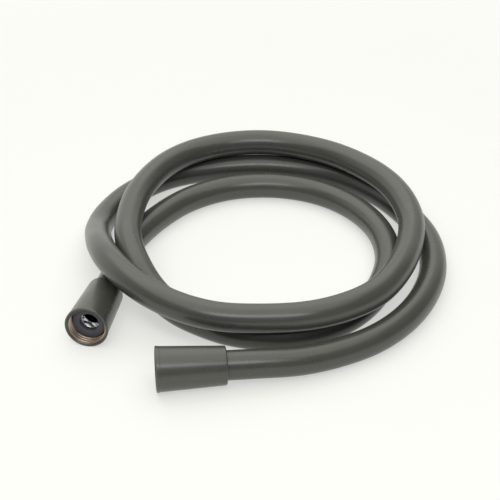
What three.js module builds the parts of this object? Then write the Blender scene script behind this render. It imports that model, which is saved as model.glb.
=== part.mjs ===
// A shower hose of plain dark grey PVC, about 1.6 m long, lying on a table in a loose coil of
// not quite three turns. Each end carries a conical brass union nut that turns freely on the
// hose: under it a chrome nipple is pushed into the hose and a steel sleeve is crimped round it,
// and a rubber washer lies in the socket against the nipple's flange.
// Millimetres. +Z is up and the table is z = 0. +X runs nearly along the front nut, from its
// mouth to the hose, and +Y runs away from the viewer.

import * as THREE from 'three';

// Gaps between pieces that touch.
const GAP = 0.3;
const HOSE_END_GAP = 0.4;
const SOCKET_CLEARANCE = 0.315;

// Hose.
const HOSE_DIAMETER = 15;
const HOSE_BORE = 9.2;
const HOSE_SIDES = 12;
const HOSE_STEPS = 78;

// Crimped sleeve round the hose end.
const SLEEVE_WALL = 0.4;
const SLEEVE_LENGTH = 16;

// Union nut. Along its axis, 0 is the mouth and NUT_LENGTH is the small end.
const NUT_LENGTH = 35;
const NUT_MOUTH_DIAMETER = 23.2;
const NUT_SMALL_DIAMETER = 19.6;
const NUT_RIM_LENGTH = 1.8;
const NUT_RIM_STEP = 0.15;
const NUT_MOUTH_EDGE = 0.45;
const NUT_SMALL_EDGE = 0.8;
const THREAD_MINOR_DIAMETER = 18.63;
const THREAD_MAJOR_DIAMETER = 20.96;
const SOCKET_DEPTH = 10.5;
const NUT_REAR_BORE = HOSE_DIAMETER + 2 * (GAP + SLEEVE_WALL + GAP);
const ROUND_SIDES = 48;

// Nipple: a flange that the nut pulls on, and a barbed stem inside the hose.
const FLANGE_DIAMETER = THREAD_MINOR_DIAMETER - 2 * SOCKET_CLEARANCE;
const FLANGE_THICKNESS = 2.5;
const FLANGE_EDGE = 0.3;
const NIPPLE_BORE = 5.8;
const NIPPLE_FUNNEL_WIDTH = 1.6;
const NIPPLE_FUNNEL_DEPTH = 4.5;
const BARB_COUNT = 4;
const BARB_HEIGHT = 0.3;
const BARB_FRONT = 0.2;
const STEM_DIAMETER = HOSE_BORE - 2 * (GAP + BARB_HEIGHT);
const STEM_LENGTH = 20;
const STEM_PLAIN = 2;
const STEM_TIP = 0.5;

// Washer.
const WASHER_DIAMETER = FLANGE_DIAMETER;
const WASHER_HOLE = 10;
const WASHER_THICKNESS = 2.4;

// Where the mouths of the two nuts are on the table, and the way each nut's axis heads from its
// mouth to the hose, in degrees from +X. The stiff hose holds the front nut up on the rim of its
// mouth, so its axis falls less than it would on the nut's cone.
const FRONT_MOUTH = [-66.8, -98.8];
const FRONT_HEADING = -3.7;
const FRONT_FALL = 1;
const LEFT_MOUTH = [-97.7, -58.4];
const LEFT_HEADING = 68.8;
const HOSE_STRAIGHT = 14;

// The hose's centre line between its straight ends, from the front nut round to the left nut.
// First turn, on the table.
const ROUTE = [
  [5, -101.3, 9], [24.5, -97.3, 8], [46.5, -89, 7.5], [66, -75.5, 7.5], [82.5, -56.5, 7.5],
  [95, -32, 7.5], [100.5, -2.5, 7.5], [96, 28, 7.5], [84.5, 56, 7.5], [63, 81.2, 7.5],
  [28.1, 97.7, 7.5], [-8.5, 100.6, 7.5], [-37.3, 94.6, 7.5], [-61, 78.5, 7.5], [-76.5, 58, 7.8],
  // Second turn: it climbs over the left end and lies on the first and third turns.
  [-83.2, 38, 10.6], [-84.6, 18, 16.6], [-84.3, -1.5, 23], [-81.7, -20.3, 27.2], [-75.5, -37.3, 28],
  [-64.8, -52.8, 26.2], [-50.5, -65.4, 24], [-33, -75.4, 22.9], [-11.5, -81.3, 22.9],
  [13, -83.3, 22.9], [34, -78.2, 22.2], [53, -67.4, 21.4], [69.5, -49, 21.2], [83.5, -23, 20.2],
  [91, 1.5, 20.6], [90.5, 26, 22.5], [83.5, 49.5, 23.1], [66.5, 75.5, 23.1], [46, 92.5, 22.8],
  [24, 102, 22.6], [0.5, 102.8, 22.7], [-21.5, 96, 22.9], [-39.5, 82, 23.1], [-56.5, 56.5, 23.1],
  [-65.5, 29.5, 23.2], [-69, 4.5, 22.8],
  // Third turn, inside: back down to the table and out under the second turn to the left nut.
  [-66.5, -15, 19], [-59.8, -32.2, 12.6], [-50, -46.5, 8.7], [-37.5, -59, 7.5], [-23, -70, 7.5],
  [-4, -76.6, 7.5], [16, -76.5, 7.5], [35, -70, 7.5], [51.5, -57, 7.5], [64.5, -39, 7.5],
  [74, -15.5, 7.5], [76, 12, 7.5], [68, 39, 7.5], [51.5, 60, 7.5], [27.5, 73, 7.5],
  [-0.5, 75.5, 7.5], [-26.5, 66.5, 7.5], [-48, 48.5, 7.5], [-65.5, 25.5, 7.5], [-75.5, 2.5, 7.9],
];

// The left nut lies on its cone, so its axis falls from the mouth to the small end.
const NUT_CONE = Math.asin((NUT_MOUTH_DIAMETER - NUT_SMALL_DIAMETER) / 2 / NUT_LENGTH);

// Places along a nut's axis.
const FLANGE_BACK = SOCKET_DEPTH - GAP;
const FLANGE_FACE = FLANGE_BACK - FLANGE_THICKNESS;
const WASHER_BACK = FLANGE_FACE - GAP;
const HOSE_END = FLANGE_BACK + HOSE_END_GAP;
const STRAIGHT_RUN = NUT_LENGTH + HOSE_STRAIGHT;

// One end of the hose: the mouth's centre and the direction from there to the hose.
class HoseEnd {
  constructor([x, y], heading, fall) {
    const turn = THREE.MathUtils.degToRad(heading);
    const height = (NUT_MOUTH_DIAMETER / 2) * Math.cos(fall);
    this.mouth = new THREE.Vector3(x, y, height);
    this.axis = new THREE.Vector3(
      Math.cos(turn) * Math.cos(fall),
      Math.sin(turn) * Math.cos(fall),
      -Math.sin(fall),
    );
  }

  // The point on the axis at a distance from the mouth.
  at(distance) {
    return this.mouth.clone().addScaledVector(this.axis, distance);
  }

  // Puts a shape turned about +Y on this end's axis, with y = 0 at the mouth.
  place(mesh) {
    mesh.quaternion.setFromUnitVectors(new THREE.Vector3(0, 1, 0), this.axis);
    mesh.position.copy(this.mouth);
    return mesh;
  }
}

const frontEnd = new HoseEnd(FRONT_MOUTH, FRONT_HEADING, THREE.MathUtils.degToRad(FRONT_FALL));
const leftEnd = new HoseEnd(LEFT_MOUTH, LEFT_HEADING, NUT_CONE);

// Materials.
const pvc = new THREE.MeshStandardMaterial({ color: 0x4a4b47, roughness: 0.5, metalness: 0 });
const coatedBrass = new THREE.MeshStandardMaterial({
  color: 0x51524e, roughness: 0.45, metalness: 0.2,
});
const chrome = new THREE.MeshStandardMaterial({ color: 0xc9ccce, roughness: 0.12, metalness: 1 });
const rubber = new THREE.MeshStandardMaterial({ color: 0x1d1d1e, roughness: 0.8, metalness: 0 });
const steel = new THREE.MeshStandardMaterial({ color: 0xa9abad, roughness: 0.3, metalness: 1 });

function named(name, geometry, material) {
  const mesh = new THREE.Mesh(geometry, material);
  mesh.name = name;
  return mesh;
}

// Turns a closed outline of [radius, distance from the mouth] points, listed up its outside and
// back down its inside, about the axis.
function turned(outline) {
  const points = outline.map(([radius, along]) => new THREE.Vector2(radius, along));
  points.push(points[0].clone());
  return new THREE.LatheGeometry(points, ROUND_SIDES);
}

// Points of a quarter round of the given radius at the end of an outline's straight stretch,
// turning inwards onto the end face.
function roundedEdge(radius, along, size, steps) {
  const points = [];
  for (let i = 0; i <= steps; i += 1) {
    const angle = (i / steps) * (Math.PI / 2);
    points.push([
      radius - size * (1 - Math.cos(angle)),
      along - size * (1 - Math.sin(angle)),
    ]);
  }
  return points;
}

// The union nut: a smooth cone with a plain rim band at the mouth, a threaded socket and a
// shoulder behind it that pulls on the nipple's flange.
function makeNut(name) {
  const mouth = NUT_MOUTH_DIAMETER / 2;
  const small = NUT_SMALL_DIAMETER / 2;
  const thread = THREAD_MINOR_DIAMETER / 2;
  const leadIn = (THREAD_MAJOR_DIAMETER - THREAD_MINOR_DIAMETER) / 2;
  const bandEnd = mouth - (mouth - small) * (NUT_RIM_LENGTH / NUT_LENGTH);
  const outline = [
    [THREAD_MAJOR_DIAMETER / 2, 0],
    [mouth - NUT_MOUTH_EDGE, 0],
    [mouth, NUT_MOUTH_EDGE],
    [bandEnd, NUT_RIM_LENGTH],
    [bandEnd - NUT_RIM_STEP, NUT_RIM_LENGTH + NUT_RIM_STEP],
    ...roundedEdge(small, NUT_LENGTH, NUT_SMALL_EDGE, 4),
    [NUT_REAR_BORE / 2, NUT_LENGTH],
    [NUT_REAR_BORE / 2, SOCKET_DEPTH],
    [thread, SOCKET_DEPTH],
    [thread, leadIn],
  ];
  return named(name, turned(outline), coatedBrass);
}

// The nipple: flange, waterway that opens in a funnel, and a stem with barbs that grip the hose.
function makeNipple(name) {
  const bore = NIPPLE_BORE / 2;
  const stem = STEM_DIAMETER / 2;
  const barbPitch = (STEM_LENGTH - 2 * STEM_PLAIN) / BARB_COUNT;
  const outline = [
    [bore + NIPPLE_FUNNEL_WIDTH, FLANGE_FACE],
    [FLANGE_DIAMETER / 2 - FLANGE_EDGE, FLANGE_FACE],
    [FLANGE_DIAMETER / 2, FLANGE_FACE + FLANGE_EDGE],
    [FLANGE_DIAMETER / 2, FLANGE_BACK],
    [stem, FLANGE_BACK],
  ];
  for (let i = 0; i < BARB_COUNT; i += 1) {
    const foot = FLANGE_BACK + STEM_PLAIN + i * barbPitch;
    outline.push([stem, foot]);
    outline.push([stem + BARB_HEIGHT, foot + BARB_FRONT]);
    outline.push([stem, foot + barbPitch * 0.8]);
  }
  outline.push([stem, FLANGE_BACK + STEM_LENGTH - 2 * STEM_TIP]);
  outline.push([stem - STEM_TIP, FLANGE_BACK + STEM_LENGTH]);
  outline.push([bore, FLANGE_BACK + STEM_LENGTH]);
  outline.push([bore, FLANGE_FACE + NIPPLE_FUNNEL_DEPTH]);
  return named(name, turned(outline), chrome);
}

function makeWasher(name) {
  const outer = WASHER_DIAMETER / 2;
  const hole = WASHER_HOLE / 2;
  const outline = [
    [hole, WASHER_BACK - WASHER_THICKNESS],
    [outer, WASHER_BACK - WASHER_THICKNESS],
    [outer, WASHER_BACK],
    [hole, WASHER_BACK],
  ];
  return named(name, turned(outline), rubber);
}

function makeSleeve(name) {
  const inner = HOSE_DIAMETER / 2 + GAP;
  const front = HOSE_END + HOSE_END_GAP;
  const outline = [
    [inner, front],
    [inner + SLEEVE_WALL, front],
    [inner + SLEEVE_WALL, front + SLEEVE_LENGTH],
    [inner, front + SLEEVE_LENGTH],
  ];
  return named(name, turned(outline), steel);
}

// A ring of HOSE_SIDES corners with one corner straight down, so the hose rests on its full
// radius.
function ring(diameter, path) {
  for (let i = 0; i < HOSE_SIDES; i += 1) {
    const angle = (i / HOSE_SIDES) * 2 * Math.PI;
    const x = (diameter / 2) * Math.cos(angle);
    const y = (diameter / 2) * Math.sin(angle);
    if (i === 0) {
      path.moveTo(x, y);
    } else {
      path.lineTo(x, y);
    }
  }
  path.closePath();
  return path;
}

function makeHose() {
  const centreLine = new THREE.CatmullRomCurve3([
    frontEnd.at(HOSE_END),
    frontEnd.at(NUT_LENGTH),
    frontEnd.at(STRAIGHT_RUN),
    ...ROUTE.map(([x, y, z]) => new THREE.Vector3(x, y, z)),
    leftEnd.at(STRAIGHT_RUN),
    leftEnd.at(NUT_LENGTH),
    leftEnd.at(HOSE_END),
  ]);
  centreLine.arcLengthDivisions = 2000;
  const section = ring(HOSE_DIAMETER, new THREE.Shape());
  section.holes.push(ring(HOSE_BORE, new THREE.Path()));
  const geometry = new THREE.ExtrudeGeometry(section, {
    steps: HOSE_STEPS,
    extrudePath: centreLine,
  });
  return named('hose', geometry, pvc);
}

function makeEnd(prefix, end) {
  const pieces = [
    makeNut(`${prefix}_nut`),
    makeWasher(`${prefix}_washer`),
    makeNipple(`${prefix}_nipple`),
    makeSleeve(`${prefix}_sleeve`),
  ];
  return pieces.map((piece) => end.place(piece));
}

const part = new THREE.Group();
part.name = 'shower_hose';
part.add(makeHose());
part.add(...makeEnd('front', frontEnd));
part.add(...makeEnd('left', leftEnd));

export default part;
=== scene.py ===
import math

import bpy
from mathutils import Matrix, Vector


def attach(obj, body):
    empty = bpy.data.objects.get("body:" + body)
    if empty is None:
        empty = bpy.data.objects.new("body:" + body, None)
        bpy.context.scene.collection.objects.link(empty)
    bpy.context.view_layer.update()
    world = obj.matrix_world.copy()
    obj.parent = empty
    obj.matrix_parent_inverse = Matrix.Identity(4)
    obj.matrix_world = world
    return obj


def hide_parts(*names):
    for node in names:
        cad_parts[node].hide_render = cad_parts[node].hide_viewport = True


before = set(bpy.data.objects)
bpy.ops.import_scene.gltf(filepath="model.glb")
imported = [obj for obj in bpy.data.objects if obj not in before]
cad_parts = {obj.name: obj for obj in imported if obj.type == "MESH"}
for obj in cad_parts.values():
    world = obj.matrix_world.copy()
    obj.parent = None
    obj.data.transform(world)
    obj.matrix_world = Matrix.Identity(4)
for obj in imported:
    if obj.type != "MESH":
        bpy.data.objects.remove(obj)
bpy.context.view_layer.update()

MM = 0.001


# ---------------------------------------------------------------- camera

PICTURE_WIDTH = 500        # pixels
FOCAL_LENGTH = 1324.3      # pixels, from how the hose shrinks towards the back
AIM = Vector((1, 15.8, 0.4)) * MM
DISTANCE = 760.6 * MM
HEADING = math.radians(10.2)
DOWNWARD = math.radians(33)


def make_camera():
    way = Vector((
        math.sin(HEADING) * math.cos(DOWNWARD),
        math.cos(HEADING) * math.cos(DOWNWARD),
        -math.sin(DOWNWARD),
    ))
    camera = bpy.data.objects.new("camera", bpy.data.cameras.new("camera"))
    camera.data.sensor_width = 36
    camera.data.lens = 36 * FOCAL_LENGTH / PICTURE_WIDTH
    camera.data.clip_start = 0.01
    camera.location = AIM - way * DISTANCE
    camera.rotation_mode = "QUATERNION"
    camera.rotation_quaternion = way.to_track_quat("-Z", "Y")
    bpy.context.collection.objects.link(camera)
    bpy.context.scene.camera = camera


make_camera()


# ---------------------------------------------------------------- sizes, as in the part

GAP = 0.3
HOSE_END_GAP = 0.4
SOCKET_CLEARANCE = 0.315

HOSE_DIAMETER = 15
HOSE_BORE = 9.2
HOSE_SIDES = 48
RING_SPACING = 2.5
CURVE_STEPS = 24           # between two points of the route, before the rings are spaced evenly

SLEEVE_WALL = 0.4
SLEEVE_LENGTH = 16
CRIMP_PLACES = (4, 8, 12)  # from the sleeve's front
CRIMP_DEPTH = 0.2
CRIMP_HALF_LENGTH = 1

NUT_LENGTH = 35
NUT_MOUTH_DIAMETER = 23.2
NUT_SMALL_DIAMETER = 19.6
NUT_RIM_LENGTH = 1.8
NUT_RIM_STEP = 0.15
NUT_RIM_SLOPE = 0.12       # length over which the rim band steps down
NUT_MOUTH_EDGE = 0.45
NUT_SMALL_EDGE = 0.8
SOCKET_DEPTH = 10.5
NUT_REAR_BORE = HOSE_DIAMETER + 2 * (GAP + SLEEVE_WALL + GAP)

# Half-inch pipe thread.
THREAD_MINOR_DIAMETER = 18.63
THREAD_MAJOR_DIAMETER = 20.96
THREAD_PITCH = 1.814
THREAD_TURNS = 5
STEPS_PER_PITCH = 16
MOUTH_STEPS = 5            # steps of the thread's wall that give way to the mouth's chamfer
MOUTH_MARGIN = 0.1         # from the thread's outer diameter to the chamfer's edge

FLANGE_DIAMETER = THREAD_MINOR_DIAMETER - 2 * SOCKET_CLEARANCE
FLANGE_THICKNESS = 2.5
FLANGE_EDGE = 0.3
NIPPLE_BORE = 5.8
NIPPLE_FUNNEL_WIDTH = 1.6
NIPPLE_FUNNEL_DEPTH = 4.5
BARB_COUNT = 4
BARB_HEIGHT = 0.3
BARB_FRONT = 0.2
BARB_REST = 0.8            # plain stem between one barb and the next
STEM_DIAMETER = HOSE_BORE - 2 * (GAP + BARB_HEIGHT)
STEM_LENGTH = 20
STEM_PLAIN = 2
STEM_TIP = 0.5

WASHER_DIAMETER = FLANGE_DIAMETER
WASHER_HOLE = 10
WASHER_THICKNESS = 2.4

HOSE_STRAIGHT = 14

FLANGE_BACK = SOCKET_DEPTH - GAP
FLANGE_FACE = FLANGE_BACK - FLANGE_THICKNESS
WASHER_BACK = FLANGE_FACE - GAP
HOSE_END = FLANGE_BACK + HOSE_END_GAP
STRAIGHT_RUN = NUT_LENGTH + HOSE_STRAIGHT

NUT_CONE = math.asin((NUT_MOUTH_DIAMETER - NUT_SMALL_DIAMETER) / 2 / NUT_LENGTH)


class HoseEnd:
    """One end of the hose: the middle of its nut's mouth and the way from there to the hose."""

    def __init__(self, mouth, heading, fall):
        turn = math.radians(heading)
        height = NUT_MOUTH_DIAMETER / 2 * math.cos(fall)
        self.mouth = Vector((mouth[0], mouth[1], height))
        self.axis = Vector((
            math.cos(turn) * math.cos(fall),
            math.sin(turn) * math.cos(fall),
            -math.sin(fall),
        ))

    def at(self, along):
        """The point of the axis that is this far from the mouth."""
        return self.mouth + self.axis * along

    def place(self, radius, angle, along):
        """A point round the axis, in millimetres."""
        side = self.axis.cross(Vector((0, 0, 1))).normalized()
        up = side.cross(self.axis)
        return self.at(along) + (side * math.cos(angle) + up * math.sin(angle)) * radius


FRONT_END = HoseEnd((-66.8, -98.8), -3.7, math.radians(1))
LEFT_END = HoseEnd((-97.7, -58.4), 68.8, NUT_CONE)

# The hose's centre line between its straight ends, from the front nut round to the left nut.
ROUTE = [
    # First turn, on the table.
    (5, -101.3, 9), (24.5, -97.3, 8), (46.5, -89, 7.5), (66, -75.5, 7.5), (82.5, -56.5, 7.5),
    (95, -32, 7.5), (100.5, -2.5, 7.5), (96, 28, 7.5), (84.5, 56, 7.5), (63, 81.2, 7.5),
    (28.1, 97.7, 7.5), (-8.5, 100.6, 7.5), (-37.3, 94.6, 7.5), (-61, 78.5, 7.5), (-76.5, 58, 7.8),
    # Second turn: it climbs over the left end and lies on the first and third turns.
    (-83.2, 38, 10.6), (-84.6, 18, 16.6), (-84.3, -1.5, 23), (-81.7, -20.3, 27.2),
    (-75.5, -37.3, 28), (-64.8, -52.8, 26.2), (-50.5, -65.4, 24), (-33, -75.4, 22.9),
    (-11.5, -81.3, 22.9),
    (13, -83.3, 22.9), (34, -78.2, 22.2), (53, -67.4, 21.4), (69.5, -49, 21.2), (83.5, -23, 20.2),
    (91, 1.5, 20.6), (90.5, 26, 22.5), (83.5, 49.5, 23.1), (66.5, 75.5, 23.1), (46, 92.5, 22.8),
    (24, 102, 22.6), (0.5, 102.8, 22.7), (-21.5, 96, 22.9), (-39.5, 82, 23.1), (-56.5, 56.5, 23.1),
    (-65.5, 29.5, 23.2), (-69, 4.5, 22.8),
    # Third turn, inside: back down to the table and out under the second turn to the left nut.
    (-66.5, -15, 19), (-59.8, -32.2, 12.6), (-50, -46.5, 8.7), (-37.5, -59, 7.5), (-23, -70, 7.5),
    (-4, -76.6, 7.5), (16, -76.5, 7.5), (35, -70, 7.5), (51.5, -57, 7.5), (64.5, -39, 7.5),
    (74, -15.5, 7.5), (76, 12, 7.5), (68, 39, 7.5), (51.5, 60, 7.5), (27.5, 73, 7.5),
    (-0.5, 75.5, 7.5), (-26.5, 66.5, 7.5), (-48, 48.5, 7.5), (-65.5, 25.5, 7.5), (-75.5, 2.5, 7.9),
]


# ---------------------------------------------------------------- nodes and colours

def linear(hex_colour):
    """An sRGB colour written as "#rrggbb", as linear RGBA."""
    def channel(text):
        value = int(text, 16) / 255
        if value <= 0.04045:
            return value / 12.92
        return ((value + 0.055) / 1.055) ** 2.4
    return (channel(hex_colour[1:3]), channel(hex_colour[3:5]), channel(hex_colour[5:7]), 1)


def node(tree, kind, settings=None, **sockets):
    """Adds a node. settings are its own values, and sockets its inputs, by name with _ for a
    space or by number after a _: a value, or the output of another node to link to."""
    made = tree.nodes.new(kind)
    for name, value in (settings or {}).items():
        setattr(made, name, value)
    for name, value in sockets.items():
        number = name[1:]
        key = int(number) if number.isdigit() else name.replace("_", " ")
        socket = made.inputs[key]
        if isinstance(value, bpy.types.NodeSocket):
            tree.links.new(value, socket)
        else:
            socket.default_value = value
    return made


def new_material(name):
    """An empty material, its tree and its output node."""
    material = bpy.data.materials.new(name)
    material.use_nodes = True
    material.node_tree.nodes.clear()
    output = material.node_tree.nodes.new("ShaderNodeOutputMaterial")
    return material, material.node_tree, output


def per_mm(size):
    """The scale of a texture in metres whose grains are this many millimetres across."""
    return 1 / (size * MM)


# ---------------------------------------------------------------- materials

def make_pvc():
    """Plasticised PVC, extruded and cooled in water: a smooth satin skin that gives soft, long
    reflections, drawn into faint lines along the hose by the die, with cloudy patches where it
    was handled."""
    material, tree, output = new_material("extruded_pvc")
    skin = node(tree, "ShaderNodeAttribute", {"attribute_name": "unrolled"}).outputs["Vector"]
    # Die lines are 0.6 mm apart round the hose and about 150 mm long.
    stretched = node(tree, "ShaderNodeMapping", Vector=skin, Scale=(1, 1, 0.004)).outputs[0]
    lines = node(tree, "ShaderNodeTexNoise", Vector=stretched, Scale=per_mm(0.6), Detail=3,
                 Roughness=0.6)
    clouds = node(tree, "ShaderNodeTexNoise", Vector=skin, Scale=per_mm(26), Detail=4,
                  Roughness=0.55)
    grain = node(tree, "ShaderNodeTexNoise", Vector=skin, Scale=per_mm(1.2), Detail=2)
    shade = node(tree, "ShaderNodeMix", {"data_type": "RGBA"}, _0=clouds.outputs["Fac"],
                 _6=linear("#41423c"), _7=linear("#4a4b45"))
    rough = node(tree, "ShaderNodeMapRange", Value=clouds.outputs["Fac"], **{
        "From_Min": 0.3, "From_Max": 0.7, "To_Min": 0.26, "To_Max": 0.32})
    ridges = node(tree, "ShaderNodeBump", Strength=0.25, Distance=0.05 * MM,
                  Height=lines.outputs["Fac"])
    bump = node(tree, "ShaderNodeBump", Strength=0.2, Distance=0.02 * MM,
                Height=grain.outputs["Fac"], Normal=ridges.outputs[0])
    shader = node(tree, "ShaderNodeBsdfPrincipled", Base_Color=shade.outputs[2],
                  Roughness=rough.outputs[0], IOR=1.6, Normal=bump.outputs[0])
    tree.links.new(shader.outputs[0], output.inputs[0])
    return material


def make_coating():
    """Brass, turned smooth and powder coated in dark grey: a shade paler than the hose, with
    cloudy patches and the faint dimples of the coating."""
    material, tree, output = new_material("coated_brass")
    place = node(tree, "ShaderNodeTexCoord").outputs["Object"]
    dimples = node(tree, "ShaderNodeTexNoise", Vector=place, Scale=per_mm(0.9), Detail=2,
                   Roughness=0.5)
    clouds = node(tree, "ShaderNodeTexNoise", Vector=place, Scale=per_mm(14), Detail=4)
    shade = node(tree, "ShaderNodeMix", {"data_type": "RGBA"}, _0=clouds.outputs["Fac"],
                 _6=linear("#43443e"), _7=linear("#4c4d47"))
    rough = node(tree, "ShaderNodeMapRange", Value=clouds.outputs["Fac"], **{
        "From_Min": 0.3, "From_Max": 0.7, "To_Min": 0.26, "To_Max": 0.32})
    bump = node(tree, "ShaderNodeBump", Strength=0.12, Distance=0.03 * MM,
                Height=dimples.outputs["Fac"])
    shader = node(tree, "ShaderNodeBsdfPrincipled", Base_Color=shade.outputs[2],
                  Roughness=rough.outputs[0], IOR=1.6, Normal=bump.outputs[0])
    tree.links.new(shader.outputs[0], output.inputs[0])
    return material


def make_bare_brass():
    """Bare brass where the thread was cut, gone a dull pinkish brown, with painted shade darkening
    the roots of the thread, and fine turning marks round the axis."""
    material, tree, output = new_material("cut_brass")
    lathe = node(tree, "ShaderNodeAttribute", {"attribute_name": "lathe"}).outputs["Vector"]
    place = node(tree, "ShaderNodeTexCoord").outputs["Object"]
    # Turning marks 0.3 mm apart along the axis, coarser than the real ones so that they show.
    marks = node(tree, "ShaderNodeTexNoise", Vector=lathe, Scale=per_mm(0.3), Detail=1)
    stains = node(tree, "ShaderNodeTexNoise", Vector=place, Scale=per_mm(3), Detail=4)
    radius = node(tree, "ShaderNodeSeparateXYZ", Vector=lathe).outputs["X"]
    # Painted shade: a mask that grows deeper into the thread's groove, towards its roots.
    root_shade_mask = node(tree, "ShaderNodeMapRange", Value=radius, **{
        "From_Min": (THREAD_MINOR_DIAMETER / 2 + 0.2) * MM,
        "From_Max": (THREAD_MAJOR_DIAMETER / 2 - 0.2) * MM,
        "To_Min": 0, "To_Max": 0.85})
    shade = node(tree, "ShaderNodeMix", {"data_type": "RGBA"}, _0=stains.outputs["Fac"],
                 _6=linear("#b6a18e"), _7=linear("#d2beae"))
    # Mixes a painted shade colour into the roots of the thread.
    root_shaded = node(tree, "ShaderNodeMix", {"data_type": "RGBA"}, _0=root_shade_mask.outputs[0],
                   _6=shade.outputs[2], _7=linear("#64564a"))
    bump = node(tree, "ShaderNodeBump", Strength=0.15, Distance=0.02 * MM,
                Height=marks.outputs["Fac"])
    shader = node(tree, "ShaderNodeBsdfPrincipled", Base_Color=root_shaded.outputs[2], Metallic=1,
                  Roughness=0.4, Normal=bump.outputs[0])
    tree.links.new(shader.outputs[0], output.inputs[0])
    return material


def make_chrome():
    """Chromium plate over turned brass: bright, with turning marks that break its highlights
    into rings."""
    material, tree, output = new_material("chromium_plate")
    lathe = node(tree, "ShaderNodeAttribute", {"attribute_name": "lathe"}).outputs["Vector"]
    marks = node(tree, "ShaderNodeTexNoise", Vector=lathe, Scale=per_mm(0.25), Detail=2)
    rough = node(tree, "ShaderNodeMapRange", Value=marks.outputs["Fac"], **{
        "From_Min": 0.3, "From_Max": 0.7, "To_Min": 0.05, "To_Max": 0.12})
    bump = node(tree, "ShaderNodeBump", Strength=0.2, Distance=0.02 * MM,
                Height=marks.outputs["Fac"])
    shader = node(tree, "ShaderNodeBsdfPrincipled", Base_Color=linear("#e6e8ea"), Metallic=1,
                  Roughness=rough.outputs[0], Normal=bump.outputs[0])
    tree.links.new(shader.outputs[0], output.inputs[0])
    return material


def make_rubber():
    """Moulded nitrile rubber: matt blue-grey with a fine grain and a trace of bloom."""
    material, tree, output = new_material("nitrile_rubber")
    place = node(tree, "ShaderNodeTexCoord").outputs["Object"]
    grain = node(tree, "ShaderNodeTexNoise", Vector=place, Scale=per_mm(0.3), Detail=3)
    bloom = node(tree, "ShaderNodeTexNoise", Vector=place, Scale=per_mm(4), Detail=3)
    shade = node(tree, "ShaderNodeMix", {"data_type": "RGBA"}, _0=bloom.outputs["Fac"],
                 _6=linear("#46464c"), _7=linear("#5c5b64"))
    bump = node(tree, "ShaderNodeBump", Strength=0.3, Distance=0.04 * MM,
                Height=grain.outputs["Fac"])
    shader = node(tree, "ShaderNodeBsdfPrincipled", Base_Color=shade.outputs[2],
                  Roughness=0.62, IOR=1.52, Normal=bump.outputs[0])
    tree.links.new(shader.outputs[0], output.inputs[0])
    return material


def make_steel():
    """Drawn stainless steel: a soft grey metal with faint stains and fine lines round the
    sleeve."""
    material, tree, output = new_material("drawn_steel")
    lathe = node(tree, "ShaderNodeAttribute", {"attribute_name": "lathe"}).outputs["Vector"]
    place = node(tree, "ShaderNodeTexCoord").outputs["Object"]
    marks = node(tree, "ShaderNodeTexNoise", Vector=lathe, Scale=per_mm(0.3), Detail=2)
    stains = node(tree, "ShaderNodeTexNoise", Vector=place, Scale=per_mm(5), Detail=3)
    shade = node(tree, "ShaderNodeMix", {"data_type": "RGBA"}, _0=stains.outputs["Fac"],
                 _6=linear("#a3a4a5"), _7=linear("#b9bbbc"))
    bump = node(tree, "ShaderNodeBump", Strength=0.2, Distance=0.02 * MM,
                Height=marks.outputs["Fac"])
    shader = node(tree, "ShaderNodeBsdfPrincipled", Base_Color=shade.outputs[2], Metallic=1,
                  Roughness=0.34, Normal=bump.outputs[0])
    tree.links.new(shader.outputs[0], output.inputs[0])
    return material


PVC = make_pvc()
COATING = make_coating()
BARE_BRASS = make_bare_brass()
CHROME = make_chrome()
RUBBER = make_rubber()
STEEL = make_steel()


# ---------------------------------------------------------------- mesh helpers

def finish_mesh(name, vertices, faces, materials, material_of=None, sharp=35):
    """A mesh object from points in millimetres, smooth but for edges over sharp degrees."""
    mesh = bpy.data.meshes.new(name)
    mesh.from_pydata([point * MM for point in vertices], [], faces)
    for material in materials:
        mesh.materials.append(material)
    if material_of:
        for polygon in mesh.polygons:
            polygon.material_index = material_of(polygon.index)
    mesh.polygons.foreach_set("use_smooth", [True] * len(mesh.polygons))
    mesh.update()
    mesh.set_sharp_from_angle(angle=math.radians(sharp))
    piece = bpy.data.objects.new(name, mesh)
    bpy.context.collection.objects.link(piece)
    return piece


def add_vectors(piece, name, vectors):
    """Keeps one vector per vertex, in metres, for a material to read."""
    layer = piece.data.attributes.new(name, "FLOAT_VECTOR", "POINT")
    layer.data.foreach_set("vector", [value * MM for vector in vectors for value in vector])


CORNER_POINTS = 5          # on each rounded corner


def rounded(corners):
    """An outline whose corners are given as (radius, along, size of the rounding)."""
    outline = []
    count = len(corners)
    for i, (radius, along, size) in enumerate(corners):
        corner = Vector((radius, along))
        if not size:
            outline.append(corner)
            continue
        before = (Vector(corners[i - 1][:2]) - corner).normalized()
        after = (Vector(corners[(i + 1) % count][:2]) - corner).normalized()
        half = math.acos(max(-1, min(1, before.dot(after)))) / 2
        reach = size / math.tan(half)
        middle = corner + (before + after).normalized() * (size / math.sin(half))
        start = corner + before * reach - middle
        end = corner + after * reach - middle
        for step in range(CORNER_POINTS):
            way = start.lerp(end, step / (CORNER_POINTS - 1)).normalized() * size
            outline.append(middle + way)
    return outline


def turned(name, end, outline, materials, sides=96, groove=None, material_of=None, sharp=35):
    """A closed outline of (radius, along) turned about the axis of a hose end. groove gives the
    depth to add to a point's radius, from its number in the outline, its place along the axis
    and its angle. material_of gives the number of the material after a point of the outline."""
    count = len(outline)
    vertices, lathe = [], []
    for side in range(sides):
        angle = 2 * math.pi * side / sides
        for number, (radius, along) in enumerate(outline):
            if groove:
                radius += groove(number, along, angle)
            vertices.append(end.place(radius, angle, along))
            lathe.append((radius, along, 0))
    faces = []
    for side in range(sides):
        here, there = side * count, (side + 1) % sides * count
        for number in range(count):
            onward = (number + 1) % count
            faces.append((here + number, there + number, there + onward, here + onward))

    def slot_of(face):
        return material_of(face % count) if material_of else 0

    piece = finish_mesh(name, vertices, faces, materials, slot_of, sharp)
    add_vectors(piece, "lathe", lathe)
    return piece


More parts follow.
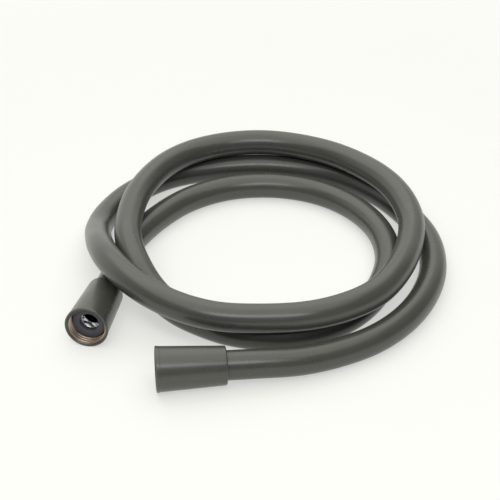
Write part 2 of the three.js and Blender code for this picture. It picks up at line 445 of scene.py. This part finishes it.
# ---------------------------------------------------------------- the hose

def smooth_line(points, steps):
    """A centripetal Catmull-Rom curve through the points, the part's own centre line."""
    line = []
    for i in range(len(points) - 1):
        p1, p2 = points[i], points[i + 1]
        p0 = points[i - 1] if i else p1 * 2 - p2
        p3 = points[i + 2] if i + 2 < len(points) else p2 * 2 - p1
        d0, d1, d2 = (p1 - p0).length ** 0.5, (p2 - p1).length ** 0.5, (p3 - p2).length ** 0.5
        t1 = ((p1 - p0) / d0 - (p2 - p0) / (d0 + d1) + (p2 - p1) / d1) * d1
        t2 = ((p2 - p1) / d1 - (p3 - p1) / (d1 + d2) + (p3 - p2) / d2) * d1
        for step in range(steps):
            w = step / steps
            line.append(p1 + t1 * w + (p2 * 3 - p1 * 3 - t1 * 2 - t2) * w ** 2
                        + (p1 * 2 - p2 * 2 + t1 + t2) * w ** 3)
    line.append(points[-1].copy())
    return line


def evenly(line, spacing):
    """The line again, with points about this far apart along it."""
    lengths = [(b - a).length for a, b in zip(line, line[1:])]
    count = round(sum(lengths) / spacing)
    gap = sum(lengths) / count
    result, run, i = [line[0]], 0, 0
    for number in range(1, count):
        while run + lengths[i] < number * gap:
            run += lengths[i]
            i += 1
        result.append(line[i].lerp(line[i + 1], (number * gap - run) / lengths[i]))
    result.append(line[-1])
    return result


def tube(name, line, diameter, bore, sides, materials):
    """An open-ended tube along the line, carried from ring to ring without twist."""
    tangents = [(line[min(i + 1, len(line) - 1)] - line[max(i - 1, 0)]).normalized()
                for i in range(len(line))]
    across = tangents[0].orthogonal().normalized()
    frames = []
    for i, tangent in enumerate(tangents):
        if i:
            across = tangents[i - 1].rotation_difference(tangent) @ across
        across = (across - tangent * across.dot(tangent)).normalized()
        frames.append((across.copy(), tangent.cross(across)))
    vertices, unrolled = [], []
    for radius in (diameter / 2, bore / 2):
        order = range(len(line)) if radius == diameter / 2 else reversed(range(len(line)))
        for i in order:
            side_way, up_way = frames[i]
            for side in range(sides):
                angle = 2 * math.pi * side / sides
                c, s = math.cos(angle), math.sin(angle)
                vertices.append(line[i] + (side_way * c + up_way * s) * radius)
                unrolled.append((c * radius, s * radius, i * RING_SPACING))
    faces = []
    rings = 2 * len(line)
    for ring in range(rings):
        here, there = ring * sides, (ring + 1) % rings * sides
        for side in range(sides):
            onward = (side + 1) % sides
            faces.append((here + side, here + onward, there + onward, there + side))
    piece = finish_mesh(name, vertices, faces, materials)
    add_vectors(piece, "unrolled", unrolled)
    return piece


def make_hose():
    points = [FRONT_END.at(HOSE_END), FRONT_END.at(NUT_LENGTH), FRONT_END.at(STRAIGHT_RUN)]
    points += [Vector(point) for point in ROUTE]
    points += [LEFT_END.at(STRAIGHT_RUN), LEFT_END.at(NUT_LENGTH), LEFT_END.at(HOSE_END)]
    line = evenly(smooth_line(points, CURVE_STEPS), RING_SPACING)
    piece = tube("pvc_hose", line, HOSE_DIAMETER, HOSE_BORE, HOSE_SIDES, [PVC])
    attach(piece, "hose_body")
    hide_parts("hose")
    return piece, line


# ---------------------------------------------------------------- the pieces of each end

def make_nut(prefix, end):
    """The union nut, with its thread cut as a helix."""
    mouth = NUT_MOUTH_DIAMETER / 2
    small = NUT_SMALL_DIAMETER / 2
    minor = THREAD_MINOR_DIAMETER / 2
    depth = (THREAD_MAJOR_DIAMETER - THREAD_MINOR_DIAMETER) / 2
    taper = (mouth - small) / NUT_LENGTH
    band = mouth - taper * NUT_RIM_LENGTH
    outside = rounded([
        (minor + depth + MOUTH_MARGIN, 0, 0.08),
        (mouth, 0, NUT_MOUTH_EDGE),
        (band, NUT_RIM_LENGTH, 0.06),
        (band - NUT_RIM_STEP, NUT_RIM_LENGTH + NUT_RIM_SLOPE, 0.06),
        (small, NUT_LENGTH, NUT_SMALL_EDGE),
        (NUT_REAR_BORE / 2, NUT_LENGTH, 0.25),
        (NUT_REAR_BORE / 2, SOCKET_DEPTH, 0.1),
        (minor, SOCKET_DEPTH, 0.1),
    ])
    thread_end = THREAD_PITCH * THREAD_TURNS
    wall = [Vector((minor, thread_end - i * THREAD_PITCH / STEPS_PER_PITCH))
            for i in range(THREAD_TURNS * STEPS_PER_PITCH - MOUTH_STEPS)]
    outline = outside + wall
    first = len(outside)
    floor = first - CORNER_POINTS - 1

    def groove(number, along, angle):
        """Depth of the helical groove: a rounded vee that fades out at both ends."""
        if number < first:
            return 0
        turn = (along / THREAD_PITCH - angle / (2 * math.pi)) % 1
        vee = 1 - abs(2 * turn - 1)
        shape = vee * vee * (3 - 2 * vee)
        fade = min(1, (thread_end - along) / THREAD_PITCH)
        lead = max(0, 1 - along / (0.8 * depth))
        return depth * max(0, min(1, max(shape * fade, lead)))

    def material_of(number):
        """Bare brass on the socket's floor and thread, and coating on all the rest."""
        return 1 if floor <= number < len(outline) - 1 else 0

    piece = turned(f"{prefix}_union_nut", end, outline, [COATING, BARE_BRASS], sides=120,
                   groove=groove, material_of=material_of, sharp=50)
    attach(piece, f"{prefix}_nut_body")
    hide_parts(f"{prefix}_nut")
    return piece


def make_washer(prefix, end):
    """The washer: a flat ring with softly rounded edges."""
    outline = rounded([
        (WASHER_HOLE / 2, WASHER_BACK - WASHER_THICKNESS, 0.35),
        (WASHER_DIAMETER / 2, WASHER_BACK - WASHER_THICKNESS, 0.35),
        (WASHER_DIAMETER / 2, WASHER_BACK, 0.35),
        (WASHER_HOLE / 2, WASHER_BACK, 0.35),
    ])
    piece = turned(f"{prefix}_rubber_washer", end, outline, [RUBBER])
    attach(piece, f"{prefix}_nut_body")
    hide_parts(f"{prefix}_washer")
    return piece


def make_nipple(prefix, end):
    """The nipple: flange, funnel into the waterway, and barbs on the stem."""
    bore = NIPPLE_BORE / 2
    stem = STEM_DIAMETER / 2
    corners = [
        (bore + NIPPLE_FUNNEL_WIDTH, FLANGE_FACE, 0.2),
        (FLANGE_DIAMETER / 2, FLANGE_FACE, FLANGE_EDGE),
        (FLANGE_DIAMETER / 2, FLANGE_BACK, 0.15),
        (stem, FLANGE_BACK, 0.2),
    ]
    pitch = (STEM_LENGTH - 2 * STEM_PLAIN) / BARB_COUNT
    for barb in range(BARB_COUNT):
        foot = FLANGE_BACK + STEM_PLAIN + barb * pitch
        corners += [(stem, foot, 0), (stem + BARB_HEIGHT, foot + BARB_FRONT, 0.05),
                    (stem, foot + pitch - BARB_REST, 0)]
    corners += [
        (stem, FLANGE_BACK + STEM_LENGTH, STEM_TIP),
        (bore, FLANGE_BACK + STEM_LENGTH, 0.2),
        (bore, FLANGE_FACE + NIPPLE_FUNNEL_DEPTH, 0.4),
    ]
    piece = turned(f"{prefix}_chrome_nipple", end, rounded(corners), [CHROME])
    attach(piece, "hose_body")
    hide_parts(f"{prefix}_nipple")
    return piece


def make_sleeve(prefix, end):
    """The sleeve, pressed in by three shallow crimps."""
    inner = HOSE_DIAMETER / 2 + GAP
    front = HOSE_END + HOSE_END_GAP
    outer = inner + SLEEVE_WALL
    corners = [(inner, front, 0.1), (outer, front, 0.15)]
    for place in CRIMP_PLACES:
        crimp = front + place
        corners += [(outer, crimp - CRIMP_HALF_LENGTH, 0.5), (outer - CRIMP_DEPTH, crimp, 0.5),
                    (outer, crimp + CRIMP_HALF_LENGTH, 0.5)]
    corners += [(outer, front + SLEEVE_LENGTH, 0.15), (inner, front + SLEEVE_LENGTH, 0.1)]
    piece = turned(f"{prefix}_steel_sleeve", end, rounded(corners), [STEEL])
    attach(piece, "hose_body")
    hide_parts(f"{prefix}_sleeve")
    return piece


hose, hose_line = make_hose()
fittings = []
for prefix, end in (("front", FRONT_END), ("left", LEFT_END)):
    fittings += [make_nut(prefix, end), make_washer(prefix, end), make_nipple(prefix, end),
                 make_sleeve(prefix, end)]

hose_length = sum((b - a).length for a, b in zip(hose_line, hose_line[1:]))
[point * MM for point in hose_line]


# ---------------------------------------------------------------- table, lamps and background

TABLE_WHITE = 0.55         # share of the table's own white, near the hose
WHITE_FROM = 200           # from here outwards that share grows,
WHITE_TO = 600             # and from here on it is all
TABLE_HALF = 3000
TABLE_BELOW = 0.1          # a hair under z = 0, so that it never cuts the hose
ROOM_FRONT = 0.2           # brightness of the room, where 1 is white
ROOM_BACK = 0.65
PALE_SIDE = (-0.3, 0.95, 0)


def make_table():
    """A white table top. The camera and gloss see it partly lit by its own white, so that the
    hose's shadow stays light, and wholly so away from the hose, so that it has no far edge."""
    material, tree, output = new_material("white_table")
    place = node(tree, "ShaderNodeTexCoord").outputs["Object"]
    grain = node(tree, "ShaderNodeTexNoise", Vector=place, Scale=per_mm(40), Detail=3)
    shade = node(tree, "ShaderNodeMix", {"data_type": "RGBA"}, _0=grain.outputs["Fac"],
                 _6=linear("#f4f4f0"), _7=linear("#f8f8f4"))
    shader = node(tree, "ShaderNodeBsdfPrincipled", Base_Color=shade.outputs[2], Roughness=0.7)
    rays = node(tree, "ShaderNodeLightPath")
    straight = node(tree, "ShaderNodeMath", {"operation": "MAXIMUM"},
                    _0=rays.outputs["Is Camera Ray"], _1=rays.outputs["Is Transmission Ray"])
    seen = node(tree, "ShaderNodeMath", {"operation": "MAXIMUM"},
                _0=straight.outputs[0], _1=rays.outputs["Is Glossy Ray"])
    distance = node(tree, "ShaderNodeVectorMath", {"operation": "LENGTH"}, _0=place)
    white = node(tree, "ShaderNodeMapRange", {"interpolation_type": "SMOOTHSTEP"},
                 Value=distance.outputs["Value"], **{
        "From_Min": WHITE_FROM * MM, "From_Max": WHITE_TO * MM, "To_Min": TABLE_WHITE,
        "To_Max": 1})
    share = node(tree, "ShaderNodeMath", {"operation": "MULTIPLY"}, _0=seen.outputs[0],
                 _1=white.outputs[0])
    glow = node(tree, "ShaderNodeEmission", Color=linear("#fefefa"), Strength=1)
    both = node(tree, "ShaderNodeMixShader", _0=share.outputs[0], _1=shader.outputs[0],
                _2=glow.outputs[0])
    tree.links.new(both.outputs[0], output.inputs[0])
    mesh = bpy.data.meshes.new("table")
    corners = [(-1, -1), (1, -1), (1, 1), (-1, 1)]
    mesh.from_pydata([Vector((x * TABLE_HALF, y * TABLE_HALF, -TABLE_BELOW)) * MM
                      for x, y in corners], [], [(0, 1, 2, 3)])
    mesh.materials.append(material)
    table = bpy.data.objects.new("table", mesh)
    bpy.context.collection.objects.link(table)


def make_lamp(name, place, faces, width, depth, level, colour):
    """A flat soft lamp, measured in metres. faces is the way it points, and level its
    brightness, where 1 is white."""
    lamp = bpy.data.objects.new(name, bpy.data.lights.new(name, "AREA"))
    lamp.data.shape = "RECTANGLE"
    lamp.data.size = width
    lamp.data.size_y = depth
    lamp.data.energy = level * math.pi * width * depth
    lamp.data.color = linear(colour)[:3]
    lamp.location = place
    lamp.rotation_mode = "QUATERNION"
    lamp.rotation_quaternion = Vector(faces).to_track_quat("-Z", "Y")
    bpy.context.collection.objects.link(lamp)


def make_world():
    """Plain white behind everything for the camera, and towards the back for gloss. The rest is
    a room that is dim on the viewer's side and paler at the back, a little to the left."""
    world = bpy.data.worlds.new("studio")
    bpy.context.scene.world = world
    world.use_nodes = True
    tree = world.node_tree
    tree.nodes.clear()
    way = node(tree, "ShaderNodeTexCoord").outputs["Generated"]
    back = node(tree, "ShaderNodeVectorMath", {"operation": "DOT_PRODUCT"}, _0=way,
                _1=PALE_SIDE).outputs["Value"]
    nearness = node(tree, "ShaderNodeMapRange", {"interpolation_type": "SMOOTHSTEP"}, Value=back,
                    **{"From_Min": 0, "From_Max": 0.9, "To_Min": 0, "To_Max": 1}).outputs[0]
    level = node(tree, "ShaderNodeMapRange", Value=nearness, **{
        "From_Min": 0, "From_Max": 1, "To_Min": ROOM_FRONT, "To_Max": ROOM_BACK})
    room = node(tree, "ShaderNodeBackground", Color=linear("#fdfdfa"), Strength=level.outputs[0])
    white = node(tree, "ShaderNodeBackground", Color=linear("#fefefa"), Strength=1)
    rays = node(tree, "ShaderNodeLightPath")
    straight = node(tree, "ShaderNodeMath", {"operation": "MAXIMUM"},
                    _0=rays.outputs["Is Camera Ray"], _1=rays.outputs["Is Transmission Ray"])
    gloss = node(tree, "ShaderNodeMath", {"operation": "MULTIPLY"},
                 _0=rays.outputs["Is Glossy Ray"], _1=nearness)
    seen = node(tree, "ShaderNodeMath", {"operation": "MAXIMUM"}, _0=straight.outputs[0],
                _1=gloss.outputs[0])
    mix = node(tree, "ShaderNodeMixShader", _0=seen.outputs[0], _1=room.outputs[0],
               _2=white.outputs[0])
    output = tree.nodes.new("ShaderNodeOutputWorld")
    tree.links.new(mix.outputs[0], output.inputs[0])


make_table()
make_lamp("overhead", (0, 0.05, 1), (0, 0, -1), width=1.6, depth=1.2, level=1.35,
          colour="#fdfff4")
make_lamp("behind", (0, 1.1, 1), (0, 0, -1), width=1.6, depth=0.9, level=0.8, colour="#fdfff4")
make_lamp("front", (-0.125, -0.695, 0.845), (0.125, 0.695, -0.845), width=0.9, depth=0.3,
          level=4.6, colour="#fcfcff")
make_world()

bpy.context.scene.view_settings.view_transform = "Standard"
